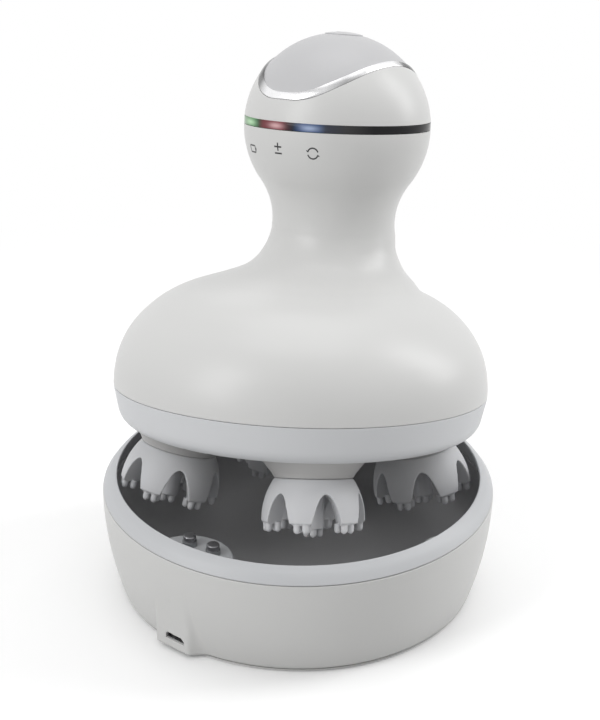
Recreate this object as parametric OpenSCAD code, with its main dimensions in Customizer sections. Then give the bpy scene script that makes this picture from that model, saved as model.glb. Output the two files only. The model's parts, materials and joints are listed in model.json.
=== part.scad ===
// Handheld scalp and body massager standing tilted in the mouth of its charging dock.
// Millimetres. +Z is up, the front is -Y, and the origin is the centre of the dock's underside.
// The massager's own pieces are drawn upright around its own axis, with z = 0 at the seam
// between its white housing and its grey lower ring, and in_massager() puts them in the dock.

/* [Dock] */
// How far the dock reaches outside the massager's widest radius, at the seam under its grey rim
dock_reach = 3; // [2.6:0.1:5]
// Height of that seam above the table
dock_seam_h = 32.6; // [31:0.1:38]
// How far the wall draws in between the seam and the table
dock_taper = 5.6; // [2:0.2:6]
// Wall of the dock's outer shell
dock_wall = 1.6; // [1.2:0.1:2]
// Height of the rim above the seam
rim_rise = 4.9; // [3.5:0.1:6]
// Width of the rim's slope in plan
rim_slope = 4.4; // [3.4:0.1:5]
// Depth of the rim's spigot below the seam
rim_spigot = 1.5; // [1.2:0.1:3]
// Thickness of the rim's lip, which overhangs the well
rim_lip = 1.2; // [1:0.1:1.6]
// Thickness of the dark well liner
liner_wall = 1; // [0.8:0.1:1.2]
// Gap between the socket's circuit board and the well's floor above it
board_gap = 0.25; // [0.2:0.05:1]
// Radius of the round corner between the well's floor and wall
well_fillet = 11; // [10.8:0.1:13]
// Thickness of the base plate
base_t = 1.8; // [1.5:0.1:2]
// Gap under the base plate, made by the soft pad
base_gap = 0.6; // [0.4:0.1:0.8]
// Radius of the soft pad under the dock
pad_r = 46; // [38:1:48]
// Radius of the tab that carries the charging pins
pin_tab_r = 13; // [10:0.5:15]
// Radius of the three plain rest tabs
rest_tab_r = 8; // [6:0.5:9]
// Depth of the rest tabs, inward from the rim
rest_tab_depth = 5; // [3:0.5:7]
// How far the tabs lie below the rim's edge
tab_drop = 4.5; // [3.8:0.1:6]

/* [Charging] */
// How far the charging pins stand inside the flat of the massager's lower ring
pin_inset = 0.3; // [0:0.1:1]
// Distance between the two pins
pin_pitch = 8.5; // [8:0.1:12]
// Angle of the pins from the front, towards +X
pin_az = 4.6; // [-6:0.2:8]
// How far the pins' tops stay below the rim's edge
pin_drop = 1.2; // [0.4:0.1:1.8]
// Radius of the moving pin
pin_r = 1.9; // [1.5:0.05:2]
// Wall of the pin's fixed barrel
pin_barrel_wall = 0.25; // [0.2:0.05:0.4]
// Travel of the pins
pin_travel = 1.2; // [0.6:0.1:1.4]
// Width of the charging socket's mouth
socket_w = 7; // [6.8:0.1:7.6]
// Height of the charging socket's mouth
socket_h = 2; // [1.8:0.05:2.2]
// How far the flat face round the socket lies inside the dock's widest radius
socket_inset = 2.1; // [1.6:0.1:2.6]
// How far the socket lies to the right of the front
socket_x = 0.9; // [-1:0.1:1.2]

/* [Pose] */
// How far the massager leans in its dock
lean = 15.2; // [10:0.1:15.2]
// Direction that its top leans towards, from +X
lean_dir = 124; // [110:1:140]
// How far the round edge of its lower ring is centred inside the rim's edge
seat_inset = 1.5; // [0.5:0.1:3]
// How far it stands to the side of the direction that it leans in
seat_side = 0.35; // [-1:0.05:1]
// Gap left between its lower ring and the rim
seat_gap = 0.12; // [0.1:0.01:0.2]

/* [Massager housing] */
// Radius of the massager at its seam
body_r = 57; // [54:0.5:57.4]
// Height at which the shoulder's dome would close
dome_h = 36.3; // [34:0.5:40]
// How square the dome's outline is, 2 being an ellipse
dome_power = 2.3; // [2:0.1:2.6]
// How far the handle's axis lies behind the main axis
handle_back = 13; // [9:0.5:14]
// Radius of the neck at its narrowest
neck_r = 18.7; // [17:0.1:21]
// How far the neck's narrowest place lies below the ball's centre
neck_drop = 29; // [26:0.5:31]
// Radius of the ball at the top
ball_r = 28.3; // [27:0.1:30]
// Height of the ball's centre, where the light band sits
ball_h = 79; // [77.5:0.5:82]
// Wall of the housing
shell_wall = 2.2; // [1.8:0.1:2.6]
// Height of the lower ring's straight side
ring_side_h = 6; // [5.4:0.1:7]
// Radius of the lower ring's round edge
ring_edge_r = 5.8; // [5:0.1:6.4]
// Width of the gaps drawn at the seams between shells
seam_gap = 0.15; // [0.1:0.05:0.3]

/* [Top of the handle] */
// Height of the light band
band_h = 2.4; // [1.8:0.1:3]
// How far the bright trim's outer edge lies inside the ball's widest radius, side to side
trim_in_x = 7.6; // [6.4:0.1:9.4]
// How far it lies inside that radius, front to back
trim_in_y = 1.5; // [1.1:0.1:2.8]
// Width of the trim in plan at the sides
trim_w_x = 2.1; // [1.5:0.1:2.6]
// Width of the trim in plan at the front and back
trim_w_y = 1.2; // [0.9:0.1:1.5]
// How far the grey panel lies below the ball's own round surface
panel_drop = 0.2; // [0:0.05:0.6]
// Thickness of the panel
panel_t = 2.2; // [1.6:0.1:2.8]
// Radius of the power button
button_r = 5.8; // [4.5:0.1:7]
// How far the button lies behind the handle's axis
button_back = 1.5; // [0:0.1:3]
// How far the middle of the button rises above the panel
button_rise = 0.3; // [0.1:0.05:0.6]
// Travel of the power button
button_travel = 0.6; // [0.3:0.1:0.8]

/* [Massage heads] */
// How far the circle of the heads' fingertips lies inside the massager's widest radius
head_inset = 17; // [17:0.2:19]
// Depth of the tips' ends below the seam
head_drop = 34.5; // [34:0.1:36]
// How far each head splays outwards
head_splay = 12; // [11:0.5:12]
// Radius of a head at its waist
waist_r = 11.4; // [10.5:0.1:12]
// Radius of a head at the feet of its legs
foot_r = 15.1; // [14:0.1:15.2]
// Height of a head from the feet of its legs to its waist
leg_h = 13; // [12.7:0.1:13.4]
// Number of legs on a head
leg_count = 6; // [5:1:7]
// Radial thickness of a leg
leg_t = 5.7; // [5:0.1:6]
// Height of the arches between the legs
arch_h = 8.8; // [6:0.1:9]
// Width of an arch at its foot
arch_w = 9; // [7:0.2:9.2]
// How square an arch is, 2 being a parabola
arch_power = 2.1; // [2:0.1:3]
// Radius of the post in the middle of a head
post_r = 3.1; // [2.8:0.1:3.6]
// How much lower the post reaches than the legs
post_drop = 1.8; // [1:0.1:2.2]
// Radius of a fingertip
tip_r = 1; // [0.9:0.02:1.2]
// Length of a fingertip
tip_l = 2.5; // [2.3:0.1:3]
// Distance between fingertips
tip_pitch = 2.6; // [2.5:0.1:3]
// Radius of a head's hub
hub_r = 8; // [6.5:0.1:8.2]
// Turn of the four heads about the massager's axis
head_turn = 1; // [-2:0.5:2]

/* [Drive] */
// Teeth of the middle gear
sun_teeth = 18; // [18:1:18]
// Teeth of each head's gear
planet_teeth = 15; // [15:1:15]
// Width of the gears' faces
gear_face = 4.4; // [3.6:0.2:4.6]
// Height of a head's gear above the underside cover, on the head's own axis
gear_lift = 4.05; // [4:0.05:4.6]
// Play between meshing teeth
gear_play = 0.35; // [0.25:0.05:0.5]
// Radius of a head's steel shaft
shaft_r = 2.5; // [2:0.1:3]
// Radius of the motor's shaft
motor_shaft_r = 2; // [1.5:0.1:2.5]
// Running clearance round a turning shaft
run_gap = 0.05; // [0.03:0.01:0.08]
// Radius of the motor
motor_r = 13.8; // [11:0.2:14.5]
// Length of the motor
motor_l = 20; // [16:0.5:21]
// Radius of the battery cell
cell_r = 9.1; // [7:0.1:9.3]
// Gap between the motor and the battery cell
cell_gap = 3.9; // [3.4:0.1:8]
// Thickness of the deck that carries the motor
deck_t = 2; // [1.6:0.1:2.4]

/* [Hidden] */
$fn = 64;

eps = 0.01;
big = 200;
rest_gap = 0.1;
fit = 0.03;
white = "#e4e4e2";
grey = "#bcbec1";
dark = "#4a4a4c";
steel = "#c8ccd0";
silicone = "#a9abad";
circuit = "#2f6b45";

// Dock, derived
dock_r = body_r + dock_reach;
rim_top_h = dock_seam_h + rim_rise;
rim_in_r = dock_r - rim_slope;
tab_top_h = rim_top_h - tab_drop;
liner_top_h = dock_seam_h - rim_spigot - rest_gap;
rim_wall_r = dock_r - dock_wall - rest_gap - 1;
well_r = dock_r - dock_wall - 0.4 - liner_wall;
well_draft = 1.4;
liner_floor_t = 1.2;
base_z = base_gap;
board_t = 1;
board_z = base_z + base_t + 0.55;
socket_z = board_z + board_t;
socket_depth = 5;
socket_recess = 0.6;
socket_face = dock_r - socket_inset;
well_floor_h = board_z + board_t + board_gap + liner_floor_t;
pin_top_h = rim_top_h - pin_drop;
barrel_top_h = tab_top_h + 1.5;
barrel_len = 8.6;
screw_ring_r = pad_r - 8;
screw_r = 1.3;
pad_t = base_z + 0.3;
screw_seat = base_z + 1.1;

// Massager, derived
ring_foot_z = -ring_side_h - ring_edge_r;
ring_flat_r = body_r - 1.5 - ring_edge_r;
ring_wall = 2.1;
pin_ring_r = ring_flat_r - pin_inset;
contact_boss_r = pin_r + 1.5;
cover_r = pin_ring_r - contact_boss_r - 2 * rest_gap;
cover_t = 1.6;
deck_r = body_r - shell_wall - 1.2;
pillar_r = 3;
wire_hole_r = 6;
pillar_ring_r = cover_r - pillar_r - 0.8;
neck_h = ball_h - neck_drop;
neck_arc_r = (sq(ball_h - neck_h) - sq(ball_r) + sq(neck_r)) / (2 * (ball_r - neck_r));
ball_joint_h = ball_h - ball_r * (ball_h - neck_h) / (ball_r + neck_arc_r);
holder_floor_t = 1.4;
board2_z = ball_h - 1.9;
board2_t = 1.6;
led_ring_r = ball_r - 5.1;
trim_x = ball_r - trim_in_x;
trim_y = ball_r - trim_in_y;
panel_r = ball_r - panel_drop;
panel_in_r = panel_r - panel_t;
button_tilt = asin(button_back / panel_r);
HEAD_ANGLES = [for (k = [0:3]) -45 + 90 * k + head_turn];
LEG_TURNS = [38, 54, 20, 2.5];
head_ring_r = body_r - head_inset;
gear_t = (head_drop + ring_foot_z + cover_t + gear_lift) / cos(head_splay);
head_apex_l = head_ring_r / sin(head_splay);
gear_l = head_apex_l - gear_t;
planet_cone = atan(sin(head_splay) / (sun_teeth / planet_teeth + cos(head_splay)));
sun_cone = head_splay - planet_cone;
gear_slant = gear_l / cos(planet_cone);
sun_l = gear_slant * cos(sun_cone);
apex_z = -head_drop + head_ring_r / tan(head_splay);
sun_z = apex_z - sun_l;
planet_r = gear_l * tan(planet_cone);
sun_r = sun_l * tan(sun_cone);
planet_m = 2 * planet_r / planet_teeth;
sun_m = 2 * sun_r / sun_teeth;
gear_top_z = -head_drop + (gear_t + gear_face) * cos(head_splay)
    + (planet_r + 0.9 * planet_m) * sin(head_splay);
deck_z = gear_top_z + 0.4;
cell_z = deck_z + deck_t + motor_l + cell_gap;
cell_l = board2_z - rest_gap - cell_z;

// The ring's round edge lies on the inner edge of the rim, at the side that the massager leans to.
rim_edge = 0.35;
seat_shift = rim_in_r - seat_inset - ring_flat_r * cos(lean) + ring_side_h * sin(lean);
seat_h = rim_top_h + sqrt(sq(ring_edge_r + seat_gap) - sq(seat_inset + rim_edge))
    + ring_flat_r * sin(lean) + ring_side_h * cos(lean);

function sq(x) = x * x;

// Outline of the dock's wall: an arc that is upright at the seam.
function dock_out(z) = dock_r - dock_taper * sq((dock_seam_h - z) / dock_seam_h);

// Outline of the shoulder's dome, and of the handle about its own axis.
function dome(h) = body_r * pow(1 - pow(h / dome_h, dome_power), 1 / dome_power);
function handle(h) = h < ball_joint_h
    ? neck_r + neck_arc_r - sqrt(sq(neck_arc_r) - sq(h - neck_h))
    : sqrt(sq(ball_r) - sq(h - ball_h));

// The blend between dome and neck. Each row gives a share of the way up from the dome's edge to
// the neck, and how much of the dome's reach is still left there, to the front and to the back.
BLEND = [[0, 1.007, 0.967], [0.1304, 0.844, 0.42], [0.2391, 0.538, 0.361], [0.3478, 0.29, 0.254],
    [0.4783, 0.152, 0.137], [0.6522, 0.0635, 0.029]];
blend_h = dome_h - 9.3;
front_low = neck_r - handle_back;
back_low = neck_r + handle_back;
low_stations = [for (k = [0:6]) let(h = (blend_h - 3) * k / 6) [h, dome(h), dome(h)]];
mid_stations = [for (s = BLEND) [blend_h + (neck_h - blend_h) * s[0],
    front_low + (dome(blend_h) - front_low) * s[1], back_low + (dome(blend_h) - back_low) * s[2]]];
top_stations = [for (k = [0:10]) let(h = neck_h - 4 + (ball_h - neck_h + 1) * k / 10)
    [h, handle(h) - handle_back, handle(h) + handle_back]];
end_station = [[ball_h - seam_gap, ball_r - handle_back, ball_r + handle_back]];
STATIONS = concat(low_stations, mid_stations, top_stations, end_station);

// A smooth curve through the stations, and the point at share u of the way past station i.
function station(i) = STATIONS[max(0, min(len(STATIONS) - 1, i))];
function between(i, u) = let(a = station(i - 1), b = station(i), c = station(i + 1), d = station(i + 2))
    (2 * b + u * (c - a) + u * u * (2 * a - 5 * b + 4 * c - d)
        + u * u * u * (3 * b - a - 3 * c + d)) / 2;

module in_massager()
    rotate([0, 0, lean_dir]) translate([seat_shift, seat_side, seat_h])
        rotate([0, lean, 0]) rotate([0, 0, -lean_dir]) children();

module on_handle() translate([0, handle_back, 0]) children();

// A head's own frame: the origin is the middle of its fingertips and +Z runs up its shaft.
module at_head(i)
    rotate([0, 0, HEAD_ANGLES[i]]) translate([head_ring_r, 0, -head_drop])
        rotate([0, -head_splay, 0]) children();

module at_pins() for (s = [-1, 1])
    rotate([0, 0, -90 + pin_az]) translate([pin_ring_r, s * pin_pitch / 2, 0]) children();

module at_pin(s) rotate([0, 0, -90 + pin_az]) translate([pin_ring_r, s * pin_pitch / 2, 0]) children();

module ring_of(n, r, turn = 0) for (k = [0:n - 1])
    rotate([0, 0, turn + 360 * k / n]) translate([r, 0, 0]) children();

module tube(r_out, r_in, h) difference() {
    cylinder(r = r_out, h = h);
    translate([0, 0, -eps]) cylinder(r = r_in, h = h + 2 * eps);
}

function oval(x, y, n = 64) = [for (k = [0:n - 1]) [x * cos(360 * k / n), y * sin(360 * k / n)]];
module oval_prism(x, y, h) linear_extrude(h) polygon(oval(x, y));

// Dock

wall_steps = 12;
module dock_profile(inset, low) polygon(concat(
    [for (k = [0:wall_steps]) let(z = low + (dock_seam_h - low) * k / wall_steps) [dock_out(z) - inset, z]],
    [[0, dock_seam_h], [0, low]]));

module socket_lump() {
    flare = 3.7;
    face_w = 12.6;
    reach = 4.9;
    lump_h = 14;
    translate([0, 0, base_z + seam_gap]) linear_extrude(lump_h) polygon([
        [-face_w / 2, -socket_face], [face_w / 2, -socket_face],
        [face_w / 2 + flare, -socket_face + reach], [-face_w / 2 - flare, -socket_face + reach]]);
}

// The mouth is a flat oblong with its two upper corners cut off.
module socket_mouth(grow, depth) {
    cut = 1.1;
    w = socket_w / 2 + grow;
    h = socket_h + 2 * grow;
    translate([socket_x, 0, socket_z + 0.3 - grow]) rotate([90, 0, 0]) linear_extrude(depth, center = true)
        polygon([[-w, 0], [w, 0], [w, h - cut], [w - cut, h], [-w + cut, h], [-w, h - cut]]);
}

module dock_shell() color(white) difference() {
    union() {
        difference() {
            rotate_extrude($fn = 96) dock_profile(0, base_z + seam_gap);
            rotate_extrude($fn = 96) dock_profile(dock_wall, base_z);
            translate([0, 0, dock_seam_h - 2]) cylinder(r = dock_r - dock_wall, h = 3);
        }
        difference() {
            socket_lump();
            rotate_extrude($fn = 96) dock_profile(dock_wall, base_z);
        }
    }
    pocket_w = 11;
    translate([socket_x - pocket_w / 2, -socket_face + socket_recess - 0.05, base_z])
        cube([pocket_w, 10, 7]);
    translate([0, -socket_face, 0]) socket_mouth(0.1, 4);
}

// The lip slopes outside and inside alike, and below it the rim stands clear of the heads.
rim_arc = 6;
rim_slope_rate = rim_rise / rim_slope;
module rim_profile() {
    bulge = 0.25;
    edge = rim_edge;
    spigot_r = dock_r - dock_wall - rest_gap;
    polygon(concat(
        [for (k = [0:rim_arc]) let(u = k / rim_arc) [
            dock_r - (rim_slope - edge) * u + bulge * sin(180 * u),
            dock_seam_h + seam_gap + (rim_rise - seam_gap) * u + bulge * sin(180 * u)]],
        [[rim_in_r, rim_top_h - edge], [rim_in_r, rim_top_h - rim_lip],
            [rim_wall_r, rim_top_h - rim_lip - rim_slope_rate * (rim_wall_r - rim_in_r)],
            [rim_wall_r, dock_seam_h - rim_spigot],
            [spigot_r, dock_seam_h - rim_spigot], [spigot_r, dock_seam_h + seam_gap]]));
}

module rim_tab(r, centre_r, angle) rotate([0, 0, angle]) {
    tab_t = 3;
    lip = dock_seam_h - rim_spigot;
    under_r = well_r - well_draft - rest_gap;
    root_r = rim_wall_r + 0.5;
    intersection() {
        rotate([0, 0, 180]) rotate_extrude($fn = 96) polygon([[20, tab_top_h - tab_t],
            [under_r, tab_top_h - tab_t], [under_r, lip], [root_r, lip], [root_r, tab_top_h],
            [20, tab_top_h]]);
        translate([centre_r, 0, 0]) cylinder(r = r, h = big);
    }
}

module dock_rim() color(grey) difference() {
    union() {
        rotate([0, 0, 45]) rotate_extrude($fn = 96) rim_profile();
        rim_tab(pin_tab_r, pin_ring_r + 6.2, -90 + pin_az);
        for (a = [0, 90, 180]) rim_tab(rest_tab_r, rim_in_r + rest_tab_r - rest_tab_depth, a - 2);
    }
    at_pins() translate([0, 0, tab_top_h - 10]) cylinder(r = pin_r + pin_barrel_wall + 0.05, h = 20);
}

// The well stands on the base on four bosses, which take its screws.
module dock_well() color(dark) difference() {
    union() {
        well_bowl();
        ring_of(4, screw_ring_r, 45) translate([0, 0, base_z + base_t])
            cylinder(r = screw_r + 2, h = well_floor_h - 0.4 - base_z - base_t);
    }
    ring_of(4, screw_ring_r, 45) translate([0, 0, base_z])
        cylinder(r = screw_r, h = well_floor_h - 0.7 - base_z);
}

module well_bowl() rotate_extrude($fn = 96) {
    steps = 6;
    low_r = well_r - well_draft;
    centre = [low_r - well_fillet, well_floor_h + well_fillet];
    out = well_fillet + liner_wall;
    flange_r = dock_r - dock_wall - 2 * rest_gap;
    polygon(concat(
        [[0, well_floor_h - liner_floor_t]],
        [for (k = [0:steps]) let(a = -90 + 90 * k / steps)
            [centre[0] + out * cos(a), max(centre[1] + out * sin(a), well_floor_h - liner_floor_t)]],
        [[well_r + liner_wall, liner_top_h - 1], [flange_r, liner_top_h - 1], [flange_r, liner_top_h],
            [well_r, liner_top_h]],
        [for (k = [steps:-1:0]) let(a = -90 + 90 * k / steps)
            [centre[0] + well_fillet * cos(a), centre[1] + well_fillet * sin(a)]],
        [[0, well_floor_h]]));
}

module dock_base() color(white) difference() {
    plate_r = dock_out(base_z) - dock_wall - 2 * rest_gap;
    lip_r = dock_out(base_z) - 0.3;
    union() {
        translate([0, 0, base_z]) cylinder(r = plate_r, h = base_t);
        translate([0, 0, base_z - 0.3]) cylinder(r = lip_r, h = 0.3);
        for (x = [-9, 9]) translate([socket_x + x, 10.9 - socket_face, base_z])
            cylinder(r = 1.9, h = board_z - base_z);
    }
    translate([0, 0, -1]) cylinder(r = pad_r + rest_gap, h = 1 + pad_t);
    ring_of(4, screw_ring_r, 45) translate([0, 0, -1]) cylinder(r = screw_r + rest_gap, h = 10);
    ring_of(4, screw_ring_r, 45) translate([0, 0, -1]) cylinder(r = screw_r + 1.4, h = 1 + screw_seat);
}

module foot_pad() color("#3c3c3e") cylinder(r = pad_r, h = pad_t);

module base_screws() color(steel) ring_of(4, screw_ring_r, 45) {
    translate([0, 0, screw_seat - 0.7]) cylinder(r = screw_r + 1.2, h = 0.7);
    translate([0, 0, screw_seat - eps]) cylinder(r = screw_r, h = well_floor_h - 0.8 - screw_seat);
}

module dock_board() color(circuit) translate([socket_x, -socket_face, board_z]) linear_extrude(board_t)
    polygon([[-5.2, 1.7], [5.2, 1.7], [5.2, 6.9], [13, 8.9], [13, 12.9], [-13, 12.9], [-13, 8.9],
        [-5.2, 6.9]]);

module usb_socket() color(steel) {
    shell_t = 0.25;
    front = -socket_face + socket_recess;
    difference() {
        translate([0, front + socket_depth / 2, 0]) socket_mouth(shell_t, socket_depth);
        translate([0, front + socket_depth / 2 - 0.6, 0]) socket_mouth(0, socket_depth);
    }
    tongue_w = 3.6;
    translate([socket_x - tongue_w / 2, front + 0.45, socket_z + 1.15])
        cube([tongue_w, socket_depth - 0.6, 0.6]);
    translate([socket_x - 2.6, front + 1.1, socket_z]) cube([5.2, socket_depth - 1.5, 0.1]);
}

module pin_barrels() color("#8f9194") at_pins() difference() {
    translate([0, 0, barrel_top_h - barrel_len]) cylinder(r = pin_r + pin_barrel_wall, h = barrel_len);
    translate([0, 0, barrel_top_h - barrel_len + 0.8]) cylinder(r = pin_r + run_gap, h = barrel_len);
}

module charge_pin() color("#7d7f82") {
    low = barrel_top_h - barrel_len + 0.8 + pin_travel + 0.2;
    dome_r = 0.5;
    rotate_extrude() polygon([[0, low], [pin_r, low], [pin_r, pin_top_h - dome_r],
        [pin_r - 0.15, pin_top_h - 0.15], [pin_r - dome_r, pin_top_h], [0, pin_top_h]]);
}
module charge_pin_left() at_pin(-1) charge_pin();
module charge_pin_right() at_pin(1) charge_pin();

// Massager housing

loft_sides = 48;
loft_steps = 2;
loft_last = len(STATIONS) - 1;
OUTER = concat([for (i = [0:loft_last - 1], k = [0:loft_steps - 1]) between(i, k / loft_steps)],
    [STATIONS[loft_last]]);

// The inner skin lies a wall's thickness inside: sideways all the way, and downwards under the dome.
function wall_shift(h) = h < neck_h - 8 ? shell_wall : h > neck_h ? 0 : shell_wall * (neck_h - h) / 8;
function skin(ring, inset) = let(
        h = max(ring[0] - (inset > 0 ? wall_shift(ring[0]) : 0), seam_gap),
        r = (ring[1] + ring[2]) / 2 - inset,
        y = (ring[2] - ring[1]) / 2)
    [for (k = [0:loft_sides - 1]) [r * sin(360 * k / loft_sides), y - r * cos(360 * k / loft_sides), h]];

function quads(a, b, n) = [for (k = [0:n - 1]) let(m = (k + 1) % n)
    each [[a + k, a + m, b + m], [a + k, b + m, b + k]]];

module body_housing() color(white) {
    rings = len(OUTER);
    top_inner = OUTER[rings - 1];
    outer_pts = [for (s = OUTER) each skin([max(s[0], seam_gap), s[1], s[2]], 0)];
    inner_pts = [for (i = [0:rings - 1]) each skin(OUTER[i], shell_wall)];
    far = rings * loft_sides;
    n = loft_sides;
    polyhedron(
        points = concat(outer_pts, inner_pts),
        faces = concat(
            [for (i = [0:rings - 2]) each quads((i + 1) * n, i * n, n)],
            [for (i = [0:rings - 2]) each quads(far + i * n, far + (i + 1) * n, n)],
            quads(0, far, n),
            quads(far + (rings - 1) * n, (rings - 1) * n, n)),
        convexity = 6);
}

ring_steps = 8;
function ring_edge(inset) = [for (k = [0:ring_steps]) let(a = 90 * k / ring_steps)
    [ring_flat_r + (ring_edge_r - inset) * cos(a), -ring_side_h - (ring_edge_r - inset) * sin(a)]];

module contact_wells(r, low, h) at_pins() translate([0, 0, low]) cylinder(r = r, h = h);

// When the massager stands level on the tabs, its contacts press the pins down by this much.
pin_press = 0.4;
contact_z = ring_foot_z + pin_top_h - tab_top_h - pin_press;
module lower_ring() color(grey) difference() {
    union() {
        rotate_extrude($fn = 96) {
            inner = ring_edge(ring_wall);
            flat = len(inner) - 1;
            polygon(concat(
                [[body_r, -seam_gap / 2]], ring_edge(0), [[cover_r + rest_gap, ring_foot_z]],
                [[cover_r + rest_gap, ring_foot_z + ring_wall]],
                [for (k = [flat:-1:0]) inner[k]],
                [[body_r - shell_wall - 0.9, -1], [body_r - shell_wall - 1.8, -1],
                    [body_r - shell_wall - 1.8, deck_z - rest_gap],
                    [body_r - shell_wall - 0.3, deck_z - rest_gap],
                    [body_r - shell_wall - 0.3, -seam_gap / 2]]));
        }
        contact_wells(contact_boss_r, ring_foot_z + 1, contact_z + 3 - ring_foot_z - 1);
    }
    contact_wells(pin_r + 0.6, ring_foot_z - 1, contact_z + 1.5 - ring_foot_z + 1);
}

module charge_contacts() color("#d8b45a") contact_wells(pin_r + 0.55, contact_z, 1.45);

module head_bores(r) for (i = [0:3]) at_head(i) cylinder(r = r, h = gear_t - 1);

bush_r = shaft_r + 1.9;
bush_l = 10.2;
module underside_cover() color("#d2d2d0") difference() {
    translate([0, 0, ring_foot_z]) cylinder(r = cover_r, h = cover_t, $fn = 96);
    head_bores(bush_r + 0.02);
    ring_of(4, pillar_ring_r) translate([0, 0, ring_foot_z - 1]) {
        cylinder(r = 1.6, h = 5);
        cylinder(r = 3.05, h = 2);
    }
}

module cover_screws() color(steel) ring_of(4, pillar_ring_r) {
    translate([0, 0, ring_foot_z + 0.2]) cylinder(r = 2.8, h = 0.8);
    translate([0, 0, ring_foot_z + 1]) cylinder(r = 1.45, h = 9);
}

// Each collar is a flared cone under the cover, cut off along the cover's underside.
module head_collar(i) color("#e2ded4") intersection() {
    at_head(i) {
        low = tip_l + leg_h + 0.3;
        difference() {
            rotate_extrude() polygon([[0, low], [waist_r + 0.2, low], [waist_r + 0.7, low + 0.9],
                [waist_r + 1.8, low + 2.4], [waist_r + 3.3, low + 4.2], [waist_r + 4.6, low + 6],
                [waist_r + 4.9, low + 11], [0, low + 11]]);
            translate([0, 0, low - 1]) cylinder(r = waist_r - 1.6, h = 2.8);
            cylinder(r = bush_r + 0.02, h = 60);
        }
    }
    translate([0, 0, ring_foot_z - 0.02 - big]) cylinder(r = big, h = big);
}

module shaft_bushes() color("#b98f4f") for (i = [0:3]) at_head(i)
    translate([0, 0, gear_t - 3 * rest_gap - bush_l]) tube(bush_r, shaft_r + run_gap, bush_l);

module drive_deck() color("#8a8d90") {
    difference() {
        translate([0, 0, deck_z]) cylinder(r = deck_r - 0.2, h = deck_t, $fn = 96);
        translate([0, 0, deck_z - 1]) cylinder(r = 5.6, h = deck_t + 2);
        translate([0, handle_back + motor_r, deck_z - 1]) cylinder(r = wire_hole_r, h = deck_t + 2);
    }
    ring_of(4, pillar_ring_r) difference() {
        translate([0, 0, ring_foot_z + cover_t])
            cylinder(r = pillar_r, h = deck_z + deck_t / 2 - ring_foot_z - cover_t);
        translate([0, 0, ring_foot_z]) cylinder(r = 1.5, h = 10.5);
    }
}

motor_z = deck_z + deck_t;
module drive_motor() color("#a7abb0") difference() {
    union() {
        translate([0, 0, motor_z]) cylinder(r = motor_r, h = motor_l - 1.5);
        translate([0, 0, motor_z + motor_l - 1.5]) cylinder(r = motor_r - 1.4, h = 1.5);
        translate([0, 0, deck_z + 0.2]) cylinder(r = 5.2, h = deck_t);
        for (x = [-6, 6]) translate([x - 1.2, -0.2, motor_z + motor_l - eps]) cube([2.4, 0.4, 2.2]);
    }
    translate([0, 0, deck_z - 1]) cylinder(r = motor_shaft_r + run_gap, h = 9);
}

module motor_shaft() color(steel)
    translate([0, 0, ring_foot_z + cover_t + 0.3]) cylinder(r = motor_shaft_r,
        h = motor_z + 3 - (ring_foot_z + cover_t + 0.3));

// Straight bevel gears whose pitch cones share the point where the head shafts would meet.

// Involute of a circle of radius rb at radius r: the angle it has turned through.
function inv_angle(rb, r) = let(a = acos(min(1, rb / r))) tan(a) * 180 / PI - a;
pressure = 20;
function tooth(m, z, k, shave) = let(
        rp = m * z / 2, rb = rp * cos(pressure), tip = rp + 0.9 * m, root = rp - 1.2 * m,
        half = 90 / z - shave / rp * 90 / PI, at_pitch = inv_angle(rb, rp), mid = 360 * k / z,
        rs = [max(rb, root + 0.2 * m), rp - 0.3 * m, rp + 0.3 * m, tip],
        flank = [for (r = rs) [r, half + at_pitch - (r > rb ? inv_angle(rb, r) : 0)]])
    concat(
        [[root * cos(mid - 180 / z + 1), root * sin(mid - 180 / z + 1)]],
        [for (f = flank) [f[0] * cos(mid - f[1]), f[0] * sin(mid - f[1])]],
        [for (j = [3:-1:0]) let(f = flank[j]) [f[0] * cos(mid + f[1]), f[0] * sin(mid + f[1])]],
        [[root * cos(mid + 180 / z - 1), root * sin(mid + 180 / z - 1)]]);

module bevel_gear(m, z, cone_l, face, bore) difference() {
    linear_extrude(face, scale = (cone_l - face) / cone_l)
        polygon([for (k = [0:z - 1]) each tooth(m, z, k, gear_play)]);
    translate([0, 0, -1]) cylinder(r = bore, h = face + 2);
}

module sun_gear() color("#e9e4d6") translate([0, 0, sun_z])
    bevel_gear(sun_m, sun_teeth, sun_l, gear_face, motor_shaft_r + fit);

// Turned so that a gap meets the tooth that the middle gear shows in this direction.
function planet_turn(i) = 180 - (180 - sun_teeth * HEAD_ANGLES[i]) / planet_teeth;
module planet_gear(i) color("#e9e4d6") at_head(i) translate([0, 0, gear_t]) rotate([0, 0, planet_turn(i)])
    bevel_gear(planet_m, planet_teeth, gear_l, gear_face, shaft_r + fit);

// Massage heads

hub_t = 2;
hub_low = tip_l + arch_h + 1.6;
hub_neck_r = shaft_r + 2.5;
hub_neck_l = tip_l + leg_h + 1.5 - hub_low;
module head_shaft(i) color(steel) at_head(i)
    translate([0, 0, hub_low + 0.8]) cylinder(r = shaft_r, h = gear_t + gear_face + 0.6 - hub_low - 0.8);

module head_hub(i) color("#d8d8d6") at_head(i) difference() {
    union() {
        translate([0, 0, hub_low]) cylinder(r = hub_r - fit, h = hub_t);
        translate([0, 0, hub_low]) cylinder(r = hub_neck_r - fit, h = hub_neck_l);
    }
    translate([0, 0, hub_low + 0.8]) cylinder(r = shaft_r, h = 10);
}

module fingertip() {
    translate([0, 0, tip_r]) cylinder(r = tip_r, h = tip_l - tip_r + 0.5, $fn = 24);
    translate([0, 0, tip_r]) sphere(r = tip_r, $fn = 24);
}

module tip_square() for (x = [-1, 1], y = [-1, 1])
    translate([x * tip_pitch / 2, y * tip_pitch / 2, 0]) fingertip();

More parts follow.
